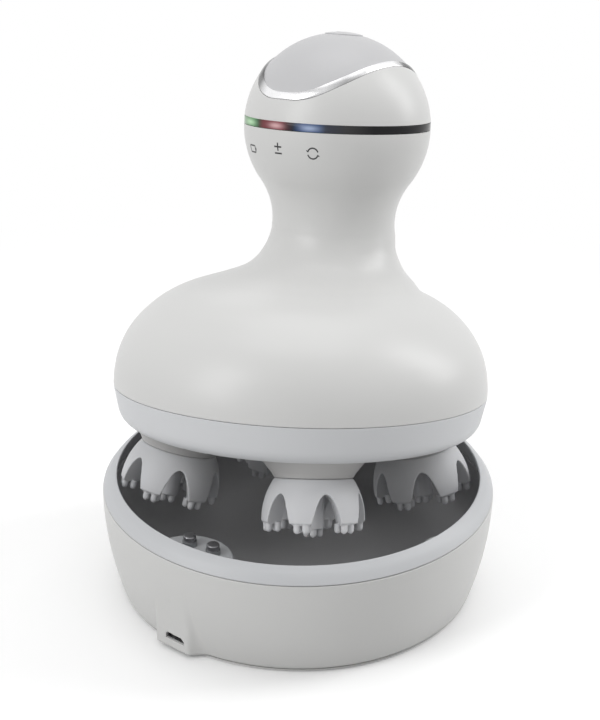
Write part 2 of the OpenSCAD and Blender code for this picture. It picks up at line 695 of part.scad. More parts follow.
function arch_outline() = concat(
    [[-arch_w / 2 - 0.4, -2], [arch_w / 2 + 0.4, -2]],
    [for (k = [-7:7]) let(x = -sin(90 * k / 7))
        [arch_w / 2 * x, arch_h * (1 - pow(abs(x), arch_power))]]);

bell_arc_r = (sq(leg_h - 1) + sq(foot_r - waist_r)) / (2 * (foot_r - waist_r));
function bell_r(z) = foot_r - bell_arc_r + sqrt(sq(bell_arc_r) - sq(max(0, z - tip_l - 1)));
module massage_head(i) color(silicone) at_head(i) rotate([0, 0, LEG_TURNS[i]]) {
    bell_steps = 7;
    foot = tip_l;
    top = tip_l + leg_h;
    roof = foot + arch_h + 0.9;
    inner_r = foot_r - leg_t;
    difference() {
        rotate_extrude() polygon(concat(
            [[0, top], [0, roof - 2]],
            [[post_r, roof - 2], [post_r + 0.8, roof - 0.4], [post_r + 2, roof],
                [inner_r - 1.6, roof], [inner_r - 0.3, roof - 1], [inner_r, roof - 2.6], [inner_r, foot + 0.4],
                [inner_r + 0.4, foot], [foot_r - 0.5, foot]],
            [for (k = [0:bell_steps]) let(z = foot + 0.5 + (leg_h - 0.5) * k / bell_steps) [bell_r(z), z]]));
        for (k = [0:leg_count - 1]) rotate([0, 0, 360 * (k + 0.5) / leg_count])
            translate([post_r + 2.4, 0, foot]) rotate([90, 0, 90]) linear_extrude(foot_r)
                polygon(arch_outline());
        translate([0, 0, hub_low]) cylinder(r = hub_r, h = hub_t);
        translate([0, 0, hub_low]) cylinder(r = hub_neck_r, h = 10);
    }
    ring_of(leg_count, foot_r - tip_pitch / 2 - tip_r - 0.45) tip_square();
    translate([0, 0, foot - post_drop]) cylinder(r = post_r, h = roof - foot + post_drop - 1.5);
    translate([0, 0, -post_drop]) tip_square();
}

// Handle

holder_r = cell_r + 1.3;
module battery_holder() color("#5a5d60") on_handle() {
    low = cell_z - holder_floor_t;
    difference() {
        translate([0, 0, low]) cylinder(r = holder_r, h = board2_z - low);
        translate([0, 0, cell_z]) cylinder(r = cell_r + rest_gap, h = board2_z);
        translate([-3, -holder_r - 1, cell_z + 8]) cube([6, 6, cell_l - 16]);
    }
    leg_x = motor_r + 3.7;
    for (x = [-1, 1]) translate([x * leg_x - 1.5, -7.5, deck_z + deck_t])
        cube([3, 6, low - deck_z - deck_t + 1]);
    translate([-leg_x - 1.5, -7.5, low - 1]) cube([2 * leg_x + 3, 6, 1 + eps]);
}

module battery_cell() color("#3f6fa8") on_handle() {
    translate([0, 0, cell_z]) cylinder(r = cell_r, h = cell_l - 0.8);
    translate([0, 0, cell_z + cell_l - 0.8]) cylinder(r = 3, h = 0.8);
}

module control_board() color(circuit) on_handle() translate([0, 0, board2_z]) difference() {
    cylinder(r = ball_r - shell_wall - 0.9, h = board2_t);
    translate([0, 12, -1]) cylinder(r = 2.5, h = 5);
}

LED_ANGLES = [-25, 0, 25];
module status_leds() color("#f2f2ee") on_handle() for (a = LED_ANGLES)
    rotate([0, 0, -90 + a]) translate([led_ring_r - 1, -1.6, board2_z + board2_t]) cube([2, 3.2, 1.5]);

module light_band() color("#1c1c1e") on_handle()
    translate([0, 0, ball_h]) tube(ball_r - 0.05, ball_r - shell_wall - 0.4, band_h - seam_gap, $fn = 96);

module ball_cap() color(white) on_handle() difference() {
    translate([0, 0, ball_h]) sphere(r = ball_r, $fn = 96);
    translate([0, 0, ball_h]) sphere(r = ball_r - shell_wall, $fn = 96);
    translate([0, 0, ball_h + band_h - big]) cylinder(r = big, h = big);
    translate([0, 0, ball_h]) oval_prism(trim_x + 0.05, trim_y + 0.05, big);
}

module chrome_trim() color("#f0f0f2") on_handle() difference() {
    intersection() {
        translate([0, 0, ball_h]) sphere(r = ball_r + 0.25, $fn = 96);
        translate([0, 0, ball_h + band_h + 1]) oval_prism(trim_x, trim_y, big);
    }
    translate([0, 0, ball_h]) sphere(r = ball_r - shell_wall, $fn = 96);
    translate([0, 0, ball_h]) oval_prism(trim_x - trim_w_x, trim_y - trim_w_y, big);
}

// The panel is part of a round shell about the ball's own centre. The button's axis runs through
// that centre too, a little backwards.
module on_button() on_handle() translate([0, 0, ball_h]) rotate([-button_tilt, 0, 0]) children();

module top_panel() color("#d2d2d2") difference() {
    on_handle() intersection() {
        translate([0, 0, ball_h]) sphere(r = panel_r, $fn = 96);
        translate([0, 0, ball_h + band_h])
            oval_prism(trim_x - trim_w_x - 0.05, trim_y - trim_w_y - 0.05, 40);
    }
    on_handle() translate([0, 0, ball_h]) sphere(r = panel_in_r, $fn = 96);
    on_button() cylinder(r = button_r + 0.25, h = 60);
}

// Heights on the button are measured from the ball's centre.
flange_r = button_r + 1.2;
flange_t = 1;
stem_l = 1.2;
button_low = sqrt(sq(panel_in_r - 0.2) - sq(flange_r)) - flange_t;
button_edge = sqrt(sq(panel_r) - sq(button_r)) - 0.05;
button_top = panel_r + button_rise;
module power_button() color("#cfcfcf") on_button() rotate_extrude() polygon(concat(
    [[0, button_low - stem_l], [1.6, button_low - stem_l], [1.6, button_low], [flange_r, button_low],
        [flange_r, button_low + flange_t], [button_r, button_low + flange_t],
        [button_r, button_edge - 0.3]],
    [for (u = [0.95, 0.75, 0.5, 0.25, 0])
        [button_r * u, button_top - (button_top - button_edge) * sq(u)]]));

// The switch stands upright under the button's stem.
switch_top = ball_h + (button_low - stem_l - button_travel - rest_gap) * cos(button_tilt)
    - 1.6 * sin(button_tilt);
switch_low = switch_top - 3.55;
switch_back = (button_low - stem_l) * sin(button_tilt);
module button_switch() color("#2b2b2d") on_handle() translate([0, switch_back, 0]) {
    translate([-3, -3, switch_low]) cube([6, 6, 2.8]);
    translate([0, 0, switch_low + 2.8]) cylinder(r = 1.7, h = 0.75);
}

module switch_riser() color("#8a8d90") on_handle() translate([0, switch_back, board2_z + board2_t])
    cylinder(r = 4.4, h = switch_low - board2_z - board2_t);

dock_shell();
dock_rim();
dock_well();
dock_base();
foot_pad();
dock_board();
usb_socket();
pin_barrels();
charge_pin_left();
charge_pin_right();
base_screws();
in_massager() body_housing();
in_massager() lower_ring();
in_massager() underside_cover();
in_massager() charge_contacts();
in_massager() cover_screws();
in_massager() head_collar(0);  // head_collar_1
in_massager() head_collar(1);  // head_collar_2
in_massager() head_collar(2);  // head_collar_3
in_massager() head_collar(3);  // head_collar_4
in_massager() shaft_bushes();
in_massager() drive_deck();
in_massager() drive_motor();
in_massager() motor_shaft();
in_massager() sun_gear();
in_massager() planet_gear(0);  // planet_gear_1
in_massager() planet_gear(1);  // planet_gear_2
in_massager() planet_gear(2);  // planet_gear_3
in_massager() planet_gear(3);  // planet_gear_4
in_massager() head_shaft(0);  // head_shaft_1
in_massager() head_shaft(1);  // head_shaft_2
in_massager() head_shaft(2);  // head_shaft_3
in_massager() head_shaft(3);  // head_shaft_4
in_massager() head_hub(0);  // head_hub_1
in_massager() head_hub(1);  // head_hub_2
in_massager() head_hub(2);  // head_hub_3
in_massager() head_hub(3);  // head_hub_4
in_massager() massage_head(0);  // massage_head_1
in_massager() massage_head(1);  // massage_head_2
in_massager() massage_head(2);  // massage_head_3
in_massager() massage_head(3);  // massage_head_4
in_massager() battery_cell();
in_massager() battery_holder();
in_massager() control_board();
in_massager() status_leds();
in_massager() light_band();
in_massager() ball_cap();
in_massager() chrome_trim();
in_massager() top_panel();
in_massager() power_button();
in_massager() switch_riser();
in_massager() button_switch();
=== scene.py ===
"""Looks of the handheld massager in its charging dock.

Lengths in the tables and outlines are millimetres; MM brings them to metres.
"""
import json
import math

import bmesh
import bpy
import numpy as np
from mathutils import Matrix, Vector
from mathutils.bvhtree import BVHTree


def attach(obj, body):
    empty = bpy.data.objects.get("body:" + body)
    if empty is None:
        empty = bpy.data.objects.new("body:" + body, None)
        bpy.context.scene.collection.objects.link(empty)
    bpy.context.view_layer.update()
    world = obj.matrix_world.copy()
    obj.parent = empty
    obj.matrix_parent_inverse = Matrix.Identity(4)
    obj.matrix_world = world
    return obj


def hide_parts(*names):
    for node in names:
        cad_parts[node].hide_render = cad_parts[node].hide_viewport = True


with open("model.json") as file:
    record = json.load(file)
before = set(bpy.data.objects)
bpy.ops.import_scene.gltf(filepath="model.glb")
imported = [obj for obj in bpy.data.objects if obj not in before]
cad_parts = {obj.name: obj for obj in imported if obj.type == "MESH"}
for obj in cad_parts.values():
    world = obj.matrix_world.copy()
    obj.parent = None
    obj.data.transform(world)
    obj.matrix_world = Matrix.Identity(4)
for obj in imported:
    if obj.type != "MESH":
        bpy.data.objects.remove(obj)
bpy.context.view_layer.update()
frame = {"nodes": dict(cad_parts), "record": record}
MM = 0.001
scene = bpy.context.scene

# Camera
AZ = math.radians(39.0)
PITCH = math.radians(26.32)
ROLL = math.radians(0.84)
away = Vector((-math.sin(AZ), math.cos(AZ), 0))
right = Vector((math.cos(AZ), math.sin(AZ), 0))
forward = away * math.cos(PITCH) - Vector((0, 0, 1)) * math.sin(PITCH)
upward = right.cross(forward)
cam_x = right * math.cos(ROLL) + upward * math.sin(ROLL)
cam_y = cam_x.cross(forward)
camera = bpy.data.objects.new("camera", bpy.data.cameras.new("camera"))
scene.collection.objects.link(camera)
camera.data.lens = 105
camera.data.sensor_width = 36
camera.data.clip_start = 0.01
camera.data.clip_end = 20
at = -away * 0.5642 + Vector((0, 0, 0.3538))
camera.matrix_world = Matrix.Translation(at) @ Matrix((cam_x, cam_y, -forward)).transposed().to_4x4()
scene.camera = camera

# Sizes of the part that more than one piece here shares
SEAM, RIM_TOP, DOCK_R, RIM_IN = 32.6, 37.5, 60.0, 55.6
BODY_R, BALL_R, NECK_R = 57.0, 28.3, 18.7
BALL_H, NECK_H = 79.0, 50.0  # above the massager's own seam
BACK = 13.0  # the handle stands this far behind the middle
PANEL_R = 27.85
RING_LOW = 11.82  # underside of the lower ring, below the massager's seam
HEAD_RING, HEAD_DROP = 40.0, 34.5

# Frames
LEAN = math.radians(15.2)
LEAN_DIR = math.radians(124)
EDGE_AT, EDGE_DROP = 49.7, 6.0  # middle of the ring's round edge: reach, and depth below the seam
REACH = 5.92  # from there to the rim's crest: the round edge's radius and a small gap
INSET, CREST = 1.5, 0.35  # how far inside the rim's inner edge that middle stands, and the crest outside it
SIDE = 0.35  # the massager's own shift across its lean
# The ring's round edge lies on the rim's inner edge, at the side that the massager leans to.
SHIFT = RIM_IN - INSET - EDGE_AT * math.cos(LEAN) + EDGE_DROP * math.sin(LEAN)
LIFT = (RIM_TOP + math.sqrt(REACH ** 2 - (INSET + CREST) ** 2) + EDGE_AT * math.sin(LEAN)
        + EDGE_DROP * math.cos(LEAN))
DOCK = Matrix.Identity(4)
MASSAGER = (Matrix.Rotation(LEAN_DIR, 4, "Z") @ Matrix.Translation((SHIFT * MM, SIDE * MM, LIFT * MM))
            @ Matrix.Rotation(LEAN, 4, "Y") @ Matrix.Rotation(-LEAN_DIR, 4, "Z"))
HANDLE = MASSAGER @ Matrix.Translation((0, BACK * MM, 0))
BUTTON_TILT = math.asin(1.5 / PANEL_R)
BUTTON = HANDLE @ Matrix.Translation((0, 0, BALL_H * MM)) @ Matrix.Rotation(-BUTTON_TILT, 4, "X")


def head_frame(k):
    """The frame of head k, whose own Z axis leans outwards."""
    return (MASSAGER @ Matrix.Rotation(math.radians(-44 + 90 * k), 4, "Z")
            @ Matrix.Translation((HEAD_RING * MM, 0, -HEAD_DROP * MM))
            @ Matrix.Rotation(math.radians(-12), 4, "Y"))


# Materials
def feed(t, node, inputs):
    """Fills inputs, by name or number, with plain values or with the sockets that they are linked to."""
    for key, value in inputs.items():
        if isinstance(value, bpy.types.NodeSocket):
            t.links.new(value, node.inputs[key])
        else:
            node.inputs[key].default_value = value


def new_node(t, kind, inputs=None, **settings):
    node = t.nodes.new("ShaderNode" + kind)
    for key, value in settings.items():
        setattr(node, key, value)
    feed(t, node, inputs or {})
    return node


def number(t, operation, *values):
    """The result of a maths node."""
    return new_node(t, "Math", dict(enumerate(values)), operation=operation).outputs[0]


def mixed(t, factor, a, b, **settings):
    """The result of a colour mix."""
    node = new_node(t, "Mix", {"Factor": factor, "A": a, "B": b}, data_type="RGBA", **settings)
    return node.outputs["Result"]


def material(name, colour, rough, vary, rough_vary, grain, bump, metallic=0.0, coat=0.0, ior=1.47,
             subsurface=0.0, scratch=0.0):
    """A moulded or metal surface: soft colour clouds, uneven gloss and a fine grain in the bump."""
    m = bpy.data.materials.new(name)
    m.use_nodes = True
    t = m.node_tree
    spot = new_node(t, "TexCoord").outputs["Object"]
    cloud = new_node(t, "TexNoise", {"Vector": spot, "Scale": 45, "Detail": 3}).outputs["Fac"]
    if scratch:
        spot = new_node(t, "Mapping", {"Vector": spot, "Scale": (1, 1, scratch)}).outputs["Vector"]
    fine = new_node(t, "TexNoise", {"Vector": spot, "Scale": grain, "Detail": 2}).outputs["Fac"]
    darker = (*[c * (1 - vary) for c in colour], 1)
    lighter = (*[min(1, c * (1 + vary)) for c in colour], 1)
    gloss = new_node(t, "MapRange", {
        "Value": fine, "From Min": 0.3, "From Max": 0.7,
        "To Min": max(0.02, rough - rough_vary), "To Max": min(1, rough + rough_vary)})
    lift = new_node(t, "Bump", {"Height": fine, "Strength": bump, "Distance": 0.0003})
    surface = {"Base Color": mixed(t, cloud, darker, lighter), "Roughness": gloss.outputs["Result"],
               "Normal": lift.outputs["Normal"], "Metallic": metallic, "IOR": ior, "Coat Weight": coat,
               "Coat Roughness": 0.1}
    if subsurface:
        surface.update({"Subsurface Weight": subsurface, "Subsurface Radius": (1, 0.9, 0.8),
                        "Subsurface Scale": 0.0012})
    feed(t, t.nodes["Principled BSDF"], surface)
    return m


# Colour, roughness, spread of the colour and of the roughness, the grain's scale, bump, and what else is set
SURFACES = {
    "dock_white": ((0.645, 0.645, 0.635), 0.42, 0.012, 0.04, 1400, 0.03),
    "body_white": ((0.645, 0.645, 0.637), 0.36, 0.012, 0.04, 1400, 0.02),
    "rim_grey": ((0.545, 0.555, 0.57), 0.45, 0.015, 0.05, 1300, 0.04),
    "ring_grey": ((0.64, 0.65, 0.665), 0.45, 0.015, 0.05, 1300, 0.04),
    "well_dark": ((0.48, 0.48, 0.49), 0.55, 0.03, 0.08, 1100, 0.06),
    "pad_rubber": ((0.05, 0.05, 0.052), 0.8, 0.1, 0.08, 700, 0.2),
    "circuit_green": ((0.03, 0.16, 0.07), 0.4, 0.15, 0.1, 300, 0.05),
    "plated_steel": ((0.55, 0.55, 0.56), 0.32, 0.05, 0.1, 900, 0.05, {"metallic": 1}),
    "barrel_grey": ((0.30, 0.31, 0.32), 0.38, 0.05, 0.08, 900, 0.05, {"metallic": 0.8}),
    "pin_metal": ((0.22, 0.22, 0.23), 0.35, 0.06, 0.08, 900, 0.05, {"metallic": 0.8}),
    "cover_white": ((0.62, 0.62, 0.60), 0.5, 0.02, 0.06, 1200, 0.05),
    "contact_gold": ((0.75, 0.55, 0.22), 0.3, 0.05, 0.08, 900, 0.03, {"metallic": 1}),
    "collar_cream": ((0.42, 0.415, 0.41), 0.48, 0.02, 0.05, 1200, 0.04),
    "bush_bronze": ((0.50, 0.33, 0.15), 0.45, 0.1, 0.1, 1100, 0.1, {"metallic": 1}),
    "frame_grey": ((0.16, 0.165, 0.17), 0.55, 0.06, 0.08, 1000, 0.1),
    "motor_can": ((0.50, 0.51, 0.53), 0.3, 0.05, 0.1, 900, 0.05, {"metallic": 1, "scratch": 8}),
    "gear_nylon": ((0.75, 0.71, 0.60), 0.5, 0.04, 0.06, 1000, 0.05),
    "hub_white": ((0.66, 0.66, 0.63), 0.5, 0.03, 0.05, 1000, 0.05),
    "head_silicone": ((0.575, 0.58, 0.595), 0.55, 0.02, 0.06, 1500, 0.06, {"subsurface": 0.15}),
    "cell_wrap": ((0.05, 0.16, 0.36), 0.3, 0.04, 0.05, 500, 0.02, {"coat": 0.4}),
    "led_clear": ((0.85, 0.85, 0.80), 0.3, 0.03, 0.05, 800, 0.02),
    "band_black": ((0.006, 0.006, 0.007), 0.14, 0.1, 0.03, 1200, 0.01, {"ior": 1.26}),
    "trim_chrome": ((0.84, 0.84, 0.85), 0.27, 0.01, 0.03, 1200, 0.002, {"metallic": 1}),
    "panel_silver": ((0.53, 0.53, 0.54), 0.42, 0.015, 0.05, 1500, 0.04),
    "button_silver": ((0.53, 0.53, 0.54), 0.38, 0.015, 0.05, 1500, 0.03),
    "switch_black": ((0.02, 0.02, 0.02), 0.5, 0.1, 0.06, 900, 0.05),
    "print_dark": ((0.03, 0.03, 0.032), 0.5, 0.1, 0.06, 1500, 0.02),
}
MAT = {}
for name, spec in SURFACES.items():
    more = spec[-1] if isinstance(spec[-1], dict) else {}
    MAT[name] = material(name, *spec[:6], **more)


def angle_ramp(t, stops):
    """A colour ramp by the angle about the piece's own axis, in degrees: 0 at its front and 90 at +X."""
    parts = new_node(t, "SeparateXYZ", {0: new_node(t, "TexCoord").outputs["Object"]}).outputs
    turn = number(t, "ARCTAN2", parts["X"], number(t, "MULTIPLY", parts["Y"], -1))
    angle = number(t, "MULTIPLY", turn, 180 / math.pi)
    span = new_node(t, "MapRange", {"Value": angle, "From Min": -180, "From Max": 180})
    ramp = new_node(t, "ValToRGB", {"Fac": span.outputs["Result"]})
    while len(ramp.color_ramp.elements) < len(stops):
        ramp.color_ramp.elements.new(0.5)
    for e, (a, c) in zip(ramp.color_ramp.elements, stops):
        e.position = (a + 180) / 360
        e.color = (*c, 1)
    return ramp.outputs["Color"], angle, parts["Z"]


def offset_squared(t, value, middle, width):
    return number(t, "POWER", number(t, "DIVIDE", number(t, "SUBTRACT", value, middle), width), 2)


def band_lights(m):
    """Green, red and blue lights behind the front of the dark band, each with a pale middle."""
    t = m.node_tree
    dark = (0.004, 0.004, 0.004)
    colour, angle, z = angle_ramp(t, [
        (-70, dark), (-48, (0.05, 0.10, 0.05)), (-38, (0.10, 0.20, 0.10)), (-24, (0.08, 0.22, 0.09)),
        (-19, (0.03, 0.10, 0.04)), (-16.5, (0.05, 0.03, 0.02)), (-13, (0.15, 0.03, 0.035)),
        (2, (0.17, 0.03, 0.04)), (6, (0.05, 0.01, 0.012)), (10.5, (0.008, 0.012, 0.02)),
        (13, (0.01, 0.03, 0.09)), (17, (0.04, 0.07, 0.17)), (27, (0.04, 0.07, 0.15)),
        (31, (0.03, 0.035, 0.05)), (44, (0.03, 0.03, 0.03)), (60, dark)])
    tall = offset_squared(t, z, 0.08012, 0.00085)
    for middle, wide, tint in ((-28.5, 7, (0.30, 0.40, 0.28)), (-2, 5.5, (0.44, 0.34, 0.34)),
                               (21, 5.5, (0.27, 0.31, 0.38))):
        far = number(t, "ADD", offset_squared(t, angle, middle, wide), tall)
        core = number(t, "EXPONENT", number(t, "MULTIPLY", far, -1))
        colour = mixed(t, core, colour, (*tint, 1), blend_type="ADD")
    feed(t, t.nodes["Principled BSDF"], {"Emission Color": colour, "Emission Strength": 1.0})


def painted_trim_reflections(m):
    """Painted reflections: light and dark tones painted into the trim's colour by the angle round the handle,
    in place of what a polished strip would mirror.
    """
    t = m.node_tree
    stops = [(-180, 0.6), (-130, 0.85), (-80, 0.6), (-55, 0.45), (-45, 0.24), (-35, 0.12), (-29, 0.22),
             (-23, 0.6), (-16, 0.9), (4, 0.9), (12, 0.66), (20, 0.54), (29, 0.62), (42, 0.38), (51, 0.5),
             (61, 0.86), (90, 0.9), (98, 0.6), (104, 0.16), (113, 0.1), (122, 0.35), (140, 0.85), (180, 0.6)]
    colour = angle_ramp(t, [(a, (v, v, v * 1.01)) for a, v in stops])[0]
    feed(t, t.nodes["Principled BSDF"], {"Base Color": colour})


band_lights(MAT["band_black"])
# The trim's colour carries painted reflections, lighter and darker by the angle round the handle.
painted_trim_reflections(MAT["trim_chrome"])
for part in frame["record"]["subparts"]:
    o = frame["nodes"][part["node"]]
    o.data.materials.clear()
    o.data.materials.append(MAT[part["material_slot"]])


# Mesh tools
def clean_mesh(name, verts, faces):
    """A mesh in metres from millimetres, with doubled points joined and its faces turned outwards."""
    me = bpy.data.meshes.new(name)
    me.from_pydata([tuple(float(c) * MM for c in v) for v in verts], [], [tuple(map(int, f)) for f in faces])
    bm = bmesh.new()
    bm.from_mesh(me)
    bmesh.ops.remove_doubles(bm, verts=bm.verts, dist=1e-7)
    bmesh.ops.recalc_face_normals(bm, faces=bm.faces)
    bm.to_mesh(me)
    bm.free()
    return me


def place(name, me, slot, body, matrix=DOCK, replaces=(), angle=40, mat=None):
    """Puts a mesh into the scene as a piece of a body, in place of the solids that it replaces."""
    o = bpy.data.objects.new(name, me)
    scene.collection.objects.link(o)
    o.matrix_world = matrix
    smooth(me, angle)
    me.materials.clear()
    me.materials.append(mat or MAT[slot])
    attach(o, body)
    if replaces:
        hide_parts(*replaces)
    return o


def smooth(me, angle):
    me.polygons.foreach_set("use_smooth", [True] * len(me.polygons))
    me.set_sharp_from_angle(angle=math.radians(angle))
    me.update()


def rings_to_faces(m, n):
    """Faces between m closed rings of n points, and from the last ring back to the first."""
    faces = []
    for i in range(m):
        a, b = i * n, (i + 1) % m * n
        for k in range(n):
            j = (k + 1) % n
            faces.append((a + k, a + j, b + j, b + k))
    return faces


def skin(name, rings, slot, body, **kw):
    """A closed skin over rings of equal length, joined in order and back to the first."""
    me = clean_mesh(name, np.vstack(rings), rings_to_faces(len(rings), len(rings[0])))
    return place(name, me, slot, body, **kw)


def fillet(points, steps=5):
    """Rounds the corners of a closed outline: each point is (r, z) or (r, z, radius)."""
    out = []
    n = len(points)
    for i, p in enumerate(points):
        c = np.array(p[:2], float)
        rad = p[2] if len(p) > 2 else 0
        if rad <= 0:
            out.append(tuple(c))
            continue
        a = np.array(points[i - 1][:2], float) - c
        b = np.array(points[(i + 1) % n][:2], float) - c
        la, lb = np.linalg.norm(a), np.linalg.norm(b)
        a, b = a / la, b / lb
        half = math.acos(max(-1, min(1, float(a @ b)))) / 2
        cut = min(rad / math.tan(half), 0.49 * la, 0.49 * lb)
        r = cut * math.tan(half)
        centre = c + (a + b) / np.linalg.norm(a + b) * (r / math.sin(half))
        p0, p1 = c + a * cut - centre, c + b * cut - centre
        w = math.acos(max(-1, min(1, float(p0 @ p1) / r ** 2)))
        for k in range(steps + 1):
            s = k / steps
            v = (math.sin((1 - s) * w) * p0 + math.sin(s * w) * p1) / math.sin(w) if w > 1e-6 else p0
            out.append(tuple(centre + v))
    return out


def polar_ring(r, angles, z, centre=(0, 0)):
    """Points round an upright axis at one height, by reach and by angle from the front towards +X."""
    return np.c_[centre[0] + r * np.sin(angles), centre[1] - r * np.cos(angles), np.full(len(angles), z)]


def turn_ring(r, z, n, centre=(0, 0)):
    """A round ring of n points."""
    return polar_ring(r, np.linspace(0, 2 * math.pi, n, endpoint=False), z, centre)


def lathe(name, outline, slot, body, n=192, centre=(0, 0), **kw):
    """A closed outline in (r, z) turned about the axis; points on the axis meet in one point."""
    return skin(name, [turn_ring(r, z, n, centre) for r, z in outline], slot, body, **kw)


def applied(o):
    """The mesh of o with its modifiers."""
    bpy.context.view_layer.update()
    return bpy.data.meshes.new_from_object(o.evaluated_get(bpy.context.evaluated_depsgraph_get()))


def combine(o, others, operation):
    """The mesh of o after a boolean step with each of the others, which are used up."""
    for other in others:
        step = o.modifiers.new("step", "BOOLEAN")
        step.operation = operation
        step.solver = "EXACT"
        step.object = other
    me = applied(o)
    for other in others:
        bpy.data.objects.remove(other)
    return me


def cut(o, cutters):
    """Takes the cutters out of a mesh for good."""
    me = combine(o, cutters, "DIFFERENCE")
    o.modifiers.clear()
    o.data = me
    smooth(me, 40)


def raw(name, verts, faces, matrix=DOCK):
    """A helper solid that is used up by a cut or a union."""
    o = bpy.data.objects.new(name, clean_mesh(name, verts, faces))
    scene.collection.objects.link(o)
    o.matrix_world = matrix
    return o


def raw_turned(name, outline, n, centre=(0, 0)):
    """A helper solid: a closed outline in (r, z) turned about an axis."""
    verts = np.vstack([turn_ring(r, z, n, centre) for r, z in outline])
    return raw(name, verts, rings_to_faces(len(outline), n))


def raw_bar(name, one_end, other_end, matrix=DOCK):
    """A helper solid between two outlines with as many points each."""
    n = len(one_end)
    faces = [tuple(range(n)), tuple(range(n, 2 * n))[::-1]]
    faces += [(k, (k + 1) % n, n + (k + 1) % n, n + k) for k in range(n)]
    return raw(name, [*one_end, *other_end], faces, matrix)


def circle(r, n, centre):
    return [(centre[0] + r * math.cos(2 * math.pi * k / n), centre[1] + r * math.sin(2 * math.pi * k / n))
            for k in range(n)]


# Dock
SHELL_LOW, SHELL_TOP = 0.75, 32.54  # the shell's own ends, above the foot's pad and below the seam
FOOT_EDGE, SHELL_WALL = 1.1, 1.6
PORT_X, PORT_Z = 0.9, 4.0  # middle and underside of the socket's mouth
FACE_X, FACE_Y = 6.3, 57.9  # end and reach of the flat face round the socket
SIDE_X, SIDE_Y = 3.7, -4.9  # from there the side face runs back into the wall


def dock_r(z):
    return DOCK_R - 5.6 * ((SEAM - z) / SEAM) ** 2


def soft_max(a, b, k):
    h = np.clip(0.5 + 0.5 * (a - b) / k, 0, 1)
    return b * (1 - h) + a * h + k * h * (1 - h)


def lump_r(a):
    """Reach of the socket's lump in the direction a from the front, before it melts into the wall."""
    s, c = abs(math.sin(a)), math.cos(a)
    if c < 0.9:
        return 0
    flat = FACE_Y / c
    side = (FACE_X * SIDE_Y - FACE_Y * SIDE_X) / (s * SIDE_Y - c * SIDE_X)
    return -soft_max(-flat, -side, 1.2 if a > 0 else 0.3)  # rounder towards +X


def shell_rings():
    angles = np.radians([*np.arange(-13, 13.01, 0.2), *np.arange(15, 345.1, 1.5)])
    lumps = np.array([lump_r(a) for a in angles])
    melt = np.where((angles > 0) & (angles < 1), 1.8, 0.6)
    rings = []
    for z in (SHELL_LOW, 0.8, 0.95, 1.2, 1.5, 1.9, *np.arange(2.4, 32.0, 0.5), 32.3, 32.42, 32.5, SHELL_TOP):
        r = np.full(len(angles), dock_r(z))
        r = np.where(lumps > 0, soft_max(r, np.maximum(lumps, 1), melt), r)
        below = max(0, SHELL_LOW + FOOT_EDGE - z)
        r -= FOOT_EDGE - math.sqrt(max(0, FOOT_EDGE ** 2 - below ** 2))
        r -= 0.2 if z > 32.53 else 0.08 if z > 32.45 else 0.02 if z > 32.4 else 0
        rings.append(polar_ring(r, angles, z))
    rings += [polar_ring(dock_r(z) - SHELL_WALL, angles, z) for z in (SHELL_TOP, 25, 17, 9, 3, SHELL_LOW)]
    return rings


shell = skin("shell_wall", shell_rings(), "dock_white", "dock", replaces=("dock_shell",), angle=50)

# The mouth is a flat oblong with its upper corners cut off, and the pocket behind it takes the steel inlet
mw, mh = 3.6, 2.2
mouth = [(-mw, 0), (mw, 0), (mw, mh - 1.2), (mw - 1.2, mh), (-mw + 0.6, mh), (-mw, mh - 0.6)]
pocket = [(-4.6, -57.35), (6.4, -57.35), (6.4, -47), (-4.6, -47)]
cut(shell, [raw_bar("mouth", *[[(PORT_X + x, -y, PORT_Z + z) for x, z in mouth] for y in (50, 60)]),
            raw_bar("pocket", *[[(x, y, z) for x, y in pocket] for z in (0, 7.5)])])

lathe("rim", fillet([
    (DOCK_R, 32.82, 0.15), (58.2, 35.35, 6), (RIM_IN + 0.02, RIM_TOP, 0.5), (RIM_IN + 0.02, 36.35, 0.3),
    (57.3, 34.4), (57.3, 31.1, 0.2), (58.3, 31.1), (58.3, 32.82)], 6),
    "rim_grey", "dock", n=256, replaces=("dock_rim",), angle=35)

# The socket's black tongue block, behind the steel mouth
block_verts = [(PORT_X + x * 3.35, -56.2 + y * 4.2, 4.4 + z * 1.85)
               for z in (0, 1) for y in (0, 1) for x in (-1, 1)]
block_faces = [(0, 1, 3, 2), (4, 5, 7, 6), (0, 1, 5, 4), (1, 3, 7, 5), (3, 2, 6, 7), (2, 0, 4, 6)]
place("port_block", clean_mesh("port_block", block_verts, block_faces), "switch_black", "dock")


def tab(name, r, centre_r, angle):
    """A lobe with a rounded edge, level with the seat, that ends inside the rim's wall and the well's."""
    a = math.radians(angle)
    turn = np.linspace(0, 2 * math.pi, 96, endpoint=False)
    outline = [(r - 0.1, 30), (r, 30.2), (r, 32.6), (r - 0.12, 32.88), (r - 0.4, 33), (r * 0.7, 33),
               (0.05, 33), (0.05, 30)]
    rings = []
    for q, z in outline:
        p = np.c_[math.cos(a) * centre_r + q * np.cos(turn), math.sin(a) * centre_r + q * np.sin(turn)]
        limit = 57.7 if z > 31.1 else 55.5
        p *= np.minimum(1, limit / np.hypot(p[:, 0], p[:, 1]))[:, None]
        rings.append(np.c_[p, np.full(len(turn), z)])
    skin(name, rings, "rim_grey", "dock", angle=50)


PIN_AZ, PIN_RING, PIN_HALF = -85.4, 49.4, 4.25  # direction and reach of the pins' middle, half of their pitch
tab("pin_tab", 13, 55.6, PIN_AZ)
for k, a in enumerate((-2, 88, 178)):
    tab("rest_tab_%d" % (k + 1), 8, 58.6, a)

lathe("well", fillet([
    (0, 4.2), (55.34, 4.2, 11.5), (58, 30), (58.2, 30), (58.2, 31), (57, 31, 0.4), (54.55, 5.4, 10.5),
    (0, 5.4)], 12), "well_dark", "dock", n=256, replaces=("dock_well",), angle=50)


